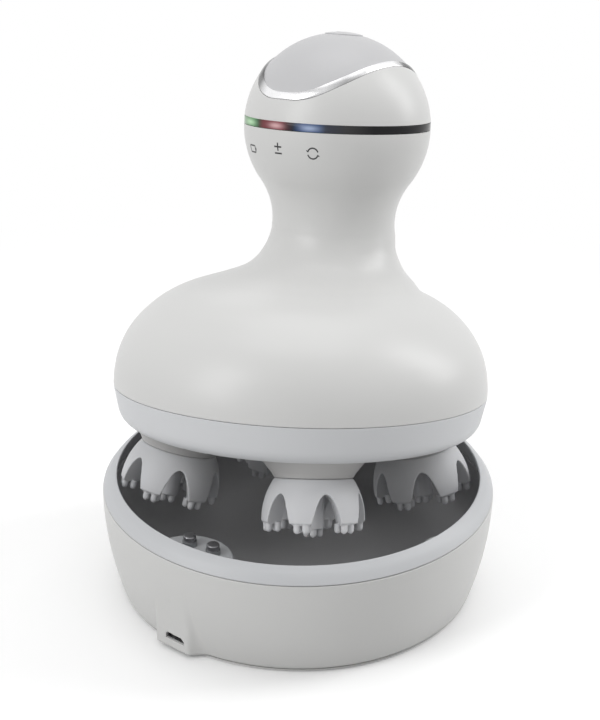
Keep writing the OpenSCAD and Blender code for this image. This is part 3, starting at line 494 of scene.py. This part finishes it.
def pin_place(side):
    """Where a charging pin stands: side -1 is the left one, 1 the right one."""
    c, s = math.cos(math.radians(PIN_AZ)), math.sin(math.radians(PIN_AZ))
    return (PIN_RING * c - side * PIN_HALF * s, PIN_RING * s + side * PIN_HALF * c)


for s, side in ((-1, "left"), (1, "right")):
    pin = fillet([(0, 28.1), (1.9, 28.1), (1.9, 34.6, 0.05), (1.72, 34.7, 0.05), (1.72, 34.84, 0.05),
                  (1.9, 34.94, 0.05), (1.9, 36.3, 0.45), (0, 36.3)], 4)
    barrel = fillet([(1.95, 26.7), (2.15, 26.7), (2.15, 34.5, 0.08), (1.95, 34.5, 0.05)], 3)
    lathe("pin_" + side, pin, "pin_metal", "charge_pin_" + side, n=48, centre=pin_place(s),
          replaces=("charge_pin_" + side,), angle=50)
    lathe("barrel_" + side, barrel, "barrel_grey", "dock", n=48, centre=pin_place(s),
          replaces=("pin_barrels",) if s < 0 else (), angle=50)


# Massager housing
DOME_H, DOME_P = 36.3, 2.3
BODY_WALL = 2.2
NECK_ARC = ((BALL_H - NECK_H) ** 2 - BALL_R ** 2 + NECK_R ** 2) / (2 * (BALL_R - NECK_R))
JOIN = BALL_H - BALL_R * (BALL_H - NECK_H) / (BALL_R + NECK_ARC)  # where the neck's hollow meets the ball


def dome(h):
    return BODY_R * (1 - (h / DOME_H) ** DOME_P) ** (1 / DOME_P)


def handle(h):
    if h < JOIN:
        return NECK_R + NECK_ARC - math.sqrt(NECK_ARC ** 2 - (h - NECK_H) ** 2)
    return math.sqrt(BALL_R ** 2 - (h - BALL_H) ** 2)


# Height, and reach to the front and to the back: the shoulder, the way into the neck, the neck and the ball
STATIONS = [(h, dome(h), dome(h)) for h in range(0, 25, 4)]
STATIONS += [(27, 42.2, 41.6), (30, 36.3, 36), (32.5, 25.2, 35.4), (35, 16.2, 34.3), (38, 11.2, 33.1),
             (42, 8, 32)]
STATIONS += [(h, handle(h) - BACK, handle(h) + BACK) for h in range(46, 77, 3)]
STATIONS += [(78.85, BALL_R - BACK, BALL_R + BACK)]


def curve(stations, steps):
    """A smooth run through the stations, with a number of steps between two of them."""
    s = np.array(stations, float)
    out = []
    for i in range(len(s) - 1):
        a, b, c, d = s[max(i - 1, 0)], s[i], s[i + 1], s[min(i + 2, len(s) - 1)]
        for k in range(steps):
            u = k / steps
            out.append((2 * b + u * (c - a) + u * u * (2 * a - 5 * b + 4 * c - d)
                        + u ** 3 * (3 * b - a - 3 * c + d)) / 2)
    return out + [s[-1]]


def section(h, front, back, inset=0.0):
    return turn_ring((front + back) / 2 - inset, h, 192, (0, (back - front) / 2))


BODY = curve(STATIONS, 8)
rings = [section(0.08, BODY_R - 0.12, BODY_R - 0.12), section(0.14, BODY_R - 0.03, BODY_R - 0.03)]
rings += [section(*s) for s in BODY if 0.2 < s[0] < 78.7]
rings += [section(h, r - BACK, r + BACK)
          for h, r in ((78.72, BALL_R), (78.82, BALL_R - 0.06), (78.86, BALL_R - 0.2))]
rings += [section(h, front, back, BODY_WALL) for h, front, back in BODY[::-6] if 0.5 < h < 78.7]
rings += [section(0.08, BODY_R - BODY_WALL, BODY_R - BODY_WALL)]
housing = skin("housing", rings, "body_white", "massager", matrix=MASSAGER, replaces=("body_housing",),
               angle=50)

# Lower ring, with the two wells for the dock's pins in its underside
ring_out = [(BODY_R, -0.08, 0.15)]
ring_out += [(49.4 + 6.2 * math.cos(a), -5.6 - 6.2 * math.sin(a))
             for a in np.linspace(0.225, math.pi / 2, 14)]
ring_out += [(45.95, -11.8, 0.25), (45.95, -9.7), (49.6, -9.7, 3), (53.6, -5.8, 2), (54, -1), (54.5, -0.08)]
ring = lathe("lower_ring", fillet(ring_out, 9), "ring_grey", "massager", n=256, matrix=MASSAGER,
             replaces=("lower_ring",), angle=35)
cut(ring, [raw_bar("well_cut", *[[(x, y, z) for x, y in circle(2.5, 40, pin_place(s))] for z in (-20, -9)],
                   MASSAGER) for s in (-1, 1)])

lathe("band", fillet([(28.25, BALL_H, 0.1), (28.25, 81.24, 0.1), (25.7, 81.24), (25.7, BALL_H)], 3),
      "band_black", "massager", n=256, matrix=HANDLE, replaces=("light_band",), angle=35)

# Printed signs
SKIN = BVHTree.FromPolygons([v.co for v in housing.data.vertices],
                            [q.vertices for q in housing.data.polygons])


def on_ball(az, h):
    """The place on the handle's skin that lies az degrees from the front towards +X and h below the ball's
    middle, and the way out from it."""
    r = math.sqrt(BALL_R ** 2 - h * h)
    a = math.radians(az)
    out = Vector((r * math.sin(a), -r * math.cos(a), -h)).normalized()
    foot = Vector((0, BACK * MM, 0))
    hit = SKIN.ray_cast(foot + Vector((0, 0, BALL_H * MM)) + out * 0.05, -out)[0]
    return np.array(hit - foot) / MM, np.array(out)


def stroke(name, points, az, h, width=0.38, closed=False):
    """A thin printed line through points (x, y) round the place on the handle that az and h give."""
    ends = [np.array(q, float) for q in points]
    line = []
    for a, b in zip(ends, ends[1:] + ends[:1] if closed else ends[1:]):
        steps = max(1, round(np.linalg.norm(b - a) / 0.3))
        line += [a + (b - a) * k / steps for k in range(steps)]
    if not closed:
        line.append(ends[-1])
    n = len(line)
    top, low = [], []
    for side in (-1, 1):
        for i in range(n):
            a = line[i - 1] if closed or i else line[i]
            b = line[(i + 1) % n] if closed or i < n - 1 else line[i]
            d = (b - a) / np.linalg.norm(b - a)
            q = line[i] + side * width / 2 * np.array([-d[1], d[0]])
            spot, out = on_ball(az + math.degrees(q[0] / BALL_R), h - q[1])
            top.append(spot + out * 0.02)
            low.append(spot - out * 0.03)
    verts = np.vstack([top[:n], top[n:], low[n:], low[:n]])
    faces = []
    for r in range(4):
        for i in range(n if closed else n - 1):
            j = (i + 1) % n
            faces.append((r * n + i, r * n + j, (r + 1) % 4 * n + j, (r + 1) % 4 * n + i))
    if not closed:
        faces += [(0, n, 2 * n, 3 * n), (n - 1, 4 * n - 1, 3 * n - 1, 2 * n - 1)]
    place(name, clean_mesh(name, verts, faces), "band_black", "massager", HANDLE, angle=60,
          mat=MAT["print_dark"])


def arc(cx, cy, r, a0, a1, n=18):
    return [(cx + r * math.cos(math.radians(a0 + (a1 - a0) * k / n)),
             cy + r * math.sin(math.radians(a0 + (a1 - a0) * k / n))) for k in range(n + 1)]


# Battery outline, plus over minus, and two arrows turning round each other
case = []
for cx, cy, a in ((1.2, 0.65, 0), (-1.5, 0.65, 90), (-1.5, -0.65, 180), (1.2, -0.65, 270)):
    case += arc(cx, cy, 0.35, a, a + 90, 5)
stroke("sign_case", case, -26.5, 6.8, 0.42, closed=True)
stroke("sign_cap", [(1.95, -0.4), (1.95, 0.4)], -26.5, 6.8, 0.5)
stroke("sign_plus_1", [(-1.35, 0.85), (1.35, 0.85)], -0.5, 5.9, 0.48)
stroke("sign_plus_2", [(0, -0.35), (0, 2.05)], -0.5, 5.9, 0.48)
stroke("sign_minus", [(-1.35, -1.1), (1.35, -1.1)], -0.5, 5.9, 0.48)
for k in (0, 180):
    stroke("sign_turn_%d" % k, arc(0, 0, 1.6, 16 + k, 164 + k), 23.5, 6.2, 0.42)
    side = 1 if k == 0 else -1
    tip = [(x * side, y * side) for x, y in ((-2.0, 0.85), (-1.55, 0.4), (-1.2, 0.95))]
    stroke("sign_head_%d" % k, tip, 23.5, 6.2, 0.28)


# Top of the ball
CAP_LOW = 81.4  # the cap stands on the light band
CAP_IN = 26.2
OUT_X, OUT_Y, OUT_P = 20.7, 26.85, 2.26  # the trim's outer edge: half widths and the oval's power
IN_X, IN_Y, IN_P = 19.35, 26.1, 2.19  # its inner edge
N_TOP = 256
T = np.linspace(0, 2 * math.pi, N_TOP, endpoint=False)
MID = np.array([0, 0, BALL_H])


def ball_z(x, y, r=BALL_R):
    return BALL_H + np.sqrt(np.maximum(0, r * r - x * x - y * y))


def oval(a, b, p):
    """An oval that is a little squarer than an ellipse, by its half widths and power."""
    c, d = np.cos(T), np.sin(T)
    return a * np.sign(c) * np.abs(c) ** (2 / p), b * np.sign(d) * np.abs(d) ** (2 / p)


def edge_ring(gap, dz):
    """A ring on the ball, a gap outside the trim's outer edge."""
    x, y = oval(OUT_X + gap, OUT_Y + gap, OUT_P)
    return np.c_[x, y, ball_z(x, y) + dz]


# Cap between the light band and the trim; its rings run along great circles
low_r = math.sqrt(BALL_R ** 2 - (CAP_LOW - BALL_H) ** 2)
low_ring = np.c_[low_r * np.cos(T), low_r * np.sin(T), np.full(N_TOP, CAP_LOW)]
d0, d1 = low_ring - MID, edge_ring(0.08, 0) - MID
wide = np.arccos(np.clip((d0 * d1).sum(1) / BALL_R ** 2, -1, 1))[:, None]
shrink = (low_r - 0.12) / low_r
rings = [low_ring * (shrink, shrink, 1) - (0, 0, 0.05)]
rings += [(np.sin((1 - u) * wide) * d0 + np.sin(u * wide) * d1) / np.sin(wide) + MID
          for u in np.arange(33) / 32]
deep, deep_low = [(r - MID) * (CAP_IN / BALL_R) + MID for r in (rings[-1], rings[1])]
deep_low[:, 2] = CAP_LOW
rings += [edge_ring(0.02, -0.1), deep, deep_low]
skin("cap", rings, "body_white", "massager", matrix=HANDLE, replaces=("ball_cap",), angle=50)

# Bright trim: a low arch across the gap between cap and panel, from its outer edge to its inner one
rings = []
for u, dz in ((0.0, -1.4), (0.0, -0.03), (0.05, 0.06), (0.18, 0.11), (0.5, 0.13), (0.82, 0.1), (0.95, 0.04),
              (1.0, -0.05), (1.0, -1.4)):
    x, y = oval(*[e + (i - e) * u for e, i in ((OUT_X, IN_X), (OUT_Y, IN_Y), (OUT_P, IN_P))])
    on = np.c_[x, y, ball_z(x, y)]
    rings.append(on + (on - MID) / BALL_R * dz)
skin("trim", rings, "trim_chrome", "massager", matrix=HANDLE, replaces=("chrome_trim",), angle=60)

# Panel, with the button's hole, whose axis runs through the ball's middle
HOLE = 6.0
hole_y, hole_z = HOLE * np.sin(T), math.sqrt(PANEL_R ** 2 - HOLE ** 2)
start = np.c_[HOLE * np.cos(T), hole_y * math.cos(BUTTON_TILT) + hole_z * math.sin(BUTTON_TILT)]
end = np.c_[oval(IN_X - 0.05, IN_Y - 0.05, IN_P)]
across = [(0, -1.8), (0, -0.12), (0.004, -0.03), (0.012, 0), *[(u, 0) for u in np.linspace(0.05, 0.97, 24)],
          (0.985, -0.01), (0.995, -0.06), (1.0, -0.15), (1.0, -1.8)]
rings = []
for u, dz in across:
    p = start * (1 - u) + end * u
    rings.append(np.c_[p, ball_z(p[:, 0], p[:, 1], PANEL_R) + dz])
skin("panel", rings, "panel_silver", "massager", matrix=HANDLE, replaces=("top_panel",), angle=50)

CROWN = 28.2  # top of the button, above the ball's middle
button = [(0, 22.6), (1.6, 22.6), (1.6, 23.8), (5.8, 23.8), (5.8, CROWN - 0.7, 0.2)]
button += [(5.8 * u, CROWN - 0.7 * u * u) for u in (0.8, 0.6, 0.4, 0.2, 0)]
lathe("button", fillet(button, 6), "button_silver", "power_button", n=96, matrix=BUTTON,
      replaces=("power_button",), angle=50)


# Collars and heads
def collar(k):
    """A cup round a head's shaft, cut off level with the lower ring's underside."""
    low = 15.68
    outline = fillet([(9.8, low + 1.9), (9.8, low), (11.55, low, 0.25), (12.2, low + 1.2, 2),
                      (14.9, low + 4.5, 6), (16.1, low + 6.5, 4), (16.25, low + 11), (4.5, low + 11),
                      (4.5, low + 1.9)], 5)
    verts = np.vstack([turn_ring(r, z, 128) for r, z in outline])
    me = clean_mesh("collar", verts, rings_to_faces(len(outline), 128))
    bm = bmesh.new()
    bm.from_mesh(me)
    inv = head_frame(k).inverted() @ MASSAGER
    got = bmesh.ops.bisect_plane(bm, geom=bm.verts[:] + bm.edges[:] + bm.faces[:],
                                 plane_co=inv @ Vector((0, 0, -RING_LOW * MM)),
                                 plane_no=(inv.to_3x3() @ Vector((0, 0, 1))).normalized(), clear_outer=True)
    bmesh.ops.holes_fill(bm, edges=[e for e in got["geom_cut"] if isinstance(e, bmesh.types.BMEdge)])
    bm.to_mesh(me)
    bm.free()
    place("collar_%d" % (k + 1), me, "collar_cream", "massager", head_frame(k),
          ("head_collar_%d" % (k + 1),), 50)


for k in range(4):
    collar(k)

LEGS = 6
FOOT, TOP = 2.5, 15.6  # the bell's lower edge and its top; the fingertips hang from 0
ROOF = FOOT + 9.7  # the bell's own inside
BELL_R, BELL_IN = 15.1, 9.4
BELL_ARC = (12 ** 2 + 3.7 ** 2) / (2 * 3.7)  # its side curves in by 3.7 over a height of 12
LEG_RING, TIP_STEP = 12.35, 2.6  # reach of the legs' middle, and the fingertips' pitch
POST_R, POST_DROP = 3.1, 1.8


def bell(z):
    return BELL_R - BELL_ARC + math.sqrt(BELL_ARC ** 2 - max(0, z - FOOT - 1) ** 2)


def round_about(a, x, y):
    """The point (x, y) turned by the angle a."""
    return x * math.cos(a) - y * math.sin(a), x * math.sin(a) + y * math.cos(a)


def make_head():
    """A bell on six legs with arches between them, four fingertips on each leg and four more on the post."""
    outline = fillet([(0, TOP), (0, ROOF - 2), (POST_R, ROOF - 2), (3.9, ROOF - 0.4, 0.5), (5.1, ROOF, 0.8),
                      (7.8, ROOF, 0.8), (BELL_IN, ROOF - 2, 1.2), (BELL_IN, FOOT + 0.3, 0.2),
                      (BELL_IN + 0.4, FOOT, 0.2), (14.6, FOOT, 0.15)], 4)
    outline += [(bell(z), z) for z in np.linspace(FOOT + 0.45, TOP - 0.3, 26)]
    outline += [(bell(TOP) - 0.15, TOP - 0.02), (bell(TOP) - 0.5, TOP)]
    base = raw_turned("bell", outline, 120)

    arch = [(-4.9, -2.5), (4.9, -2.5)]
    arch += [(4.5 * math.cos(a), 8.8 * (1 - abs(math.cos(a)) ** 2.1)) for a in np.linspace(0, math.pi, 25)]
    cutters = []
    for k in range(LEGS):
        a = math.radians(60 * (k + 0.5))
        cutters.append(raw_bar("arch", *[[(*round_about(a, q, x), FOOT + z) for x, z in arch]
                                         for q in (5.5, 19)]))
    cut(base, cutters)

    tip = [(0, 0), *[(math.sin(a), 1 - math.cos(a)) for a in np.linspace(0, math.pi / 2, 7)[1:]],
           (1, FOOT + 0.4), (0, FOOT + 0.4)]
    four = [(x * TIP_STEP / 2, y * TIP_STEP / 2) for x in (-1, 1) for y in (-1, 1)]
    spots = [(*round_about(math.radians(60 * k), LEG_RING + x, y), 0) for k in range(LEGS) for x, y in four]
    spots += [(x, y, -POST_DROP) for x, y in four]
    parts = [raw_turned("tip", [(r, z + dz) for r, z in tip], 20, (x, y)) for x, y, dz in spots]
    parts.append(raw_turned("post", [(0, FOOT - POST_DROP), (3.0, FOOT - POST_DROP), (POST_R, FOOT - 1.6),
                                     (POST_R, ROOF - 0.5), (0, ROOF - 0.5)], 48))
    o = bpy.data.objects.new("head_work", combine(base, parts, "UNION"))
    bpy.data.objects.remove(base)
    scene.collection.objects.link(o)

    # Even small faces, so that the soft edges between the parts come out as in one moulding
    remesh = o.modifiers.new("remesh", "REMESH")
    remesh.mode = "VOXEL"
    remesh.voxel_size = 0.00022
    soften = o.modifiers.new("smooth", "SMOOTH")
    soften.factor = 0.5
    soften.iterations = 4
    me = applied(o)
    me.name = "head"
    bpy.data.objects.remove(o)
    return me


HEAD = make_head()
for k, turned in enumerate((38, 54, 20, 2.5)):
    matrix = head_frame(k) @ Matrix.Rotation(math.radians(turned), 4, "Z")
    place("head_%d" % (k + 1), HEAD if k == 0 else HEAD.copy(), "head_silicone", "head_%d" % (k + 1), matrix,
          ("massage_head_%d" % (k + 1),), 180)


# Floor, light and background
def looked_at(t):
    """1 for rays from the camera and for mirrored ones, which see a white studio, and 0 for all others."""
    path = new_node(t, "LightPath").outputs
    return number(t, "MAXIMUM", path["Is Camera Ray"], path["Is Glossy Ray"])


def floor_material():
    """A pale floor that takes shadows, and passes into the white background away from the object."""
    m = bpy.data.materials.new("floor")
    m.use_nodes = True
    t = m.node_tree
    seen = looked_at(t)
    b = t.nodes["Principled BSDF"]
    feed(t, b, {"Roughness": 0.7, "Specular IOR Level": 0.2,
                "Base Color": mixed(t, seen, (0.6, 0.6, 0.6, 1), (0.97, 0.97, 0.97, 1))})
    glow = new_node(t, "Emission", {"Strength": number(t, "MULTIPLY", seen, 0.09)})
    near = new_node(t, "AddShader", {0: b.outputs[0], 1: glow.outputs[0]})
    reach = new_node(t, "VectorMath", {0: new_node(t, "TexCoord").outputs["Object"]}, operation="LENGTH")
    fade = new_node(t, "MapRange", {"Value": reach.outputs["Value"], "From Min": 0.11, "From Max": 0.3},
                    interpolation_type="SMOOTHSTEP")
    white = new_node(t, "Emission")
    blend = new_node(t, "MixShader", {0: number(t, "MULTIPLY", fade.outputs["Result"], seen),
                                      1: near.outputs[0], 2: white.outputs[0]})
    feed(t, t.nodes["Material Output"], {"Surface": blend.outputs[0]})
    return m


me = bpy.data.meshes.new("floor")
me.from_pydata([(x, y, -0.0002) for x, y in ((-3, -3), (3, -3), (3, 3), (-3, 3))], [], [(0, 1, 2, 3)])
me.materials.append(floor_material())
floor = bpy.data.objects.new("floor", me)
scene.collection.objects.link(floor)

world = bpy.data.worlds.new("world")
scene.world = world
world.use_nodes = True
t = world.node_tree
power = new_node(t, "Mix", {"Factor": looked_at(t), "A": 0.50, "B": 1.0})
feed(t, t.nodes["Background"], {"Color": (1, 1, 1, 1), "Strength": power.outputs["Result"]})


def lamp(name, x, y, z, power, wide, tall):
    """An area lamp that looks at the object, placed to the camera's right, away from it and upwards."""
    light = bpy.data.lights.new(name, "AREA")
    light.energy = power
    light.shape = "RECTANGLE"
    light.size = wide
    light.size_y = tall
    o = bpy.data.objects.new(name, light)
    scene.collection.objects.link(o)
    o.location = right * x + away * y + Vector((0, 0, z))
    o.rotation_euler = (Vector((0, 0, 0.08)) - o.location).to_track_quat("-Z", "Y").to_euler()


lamp("key", -0.85, -0.55, 0.7, 5.3, 0.5, 0.8)
lamp("rim", 0.95, 0.25, 0.6, 5.4, 0.4, 0.9)
lamp("top", 0, 0.25, 1.2, 3.9, 0.9, 0.9)

scene.view_settings.view_transform = "Standard"
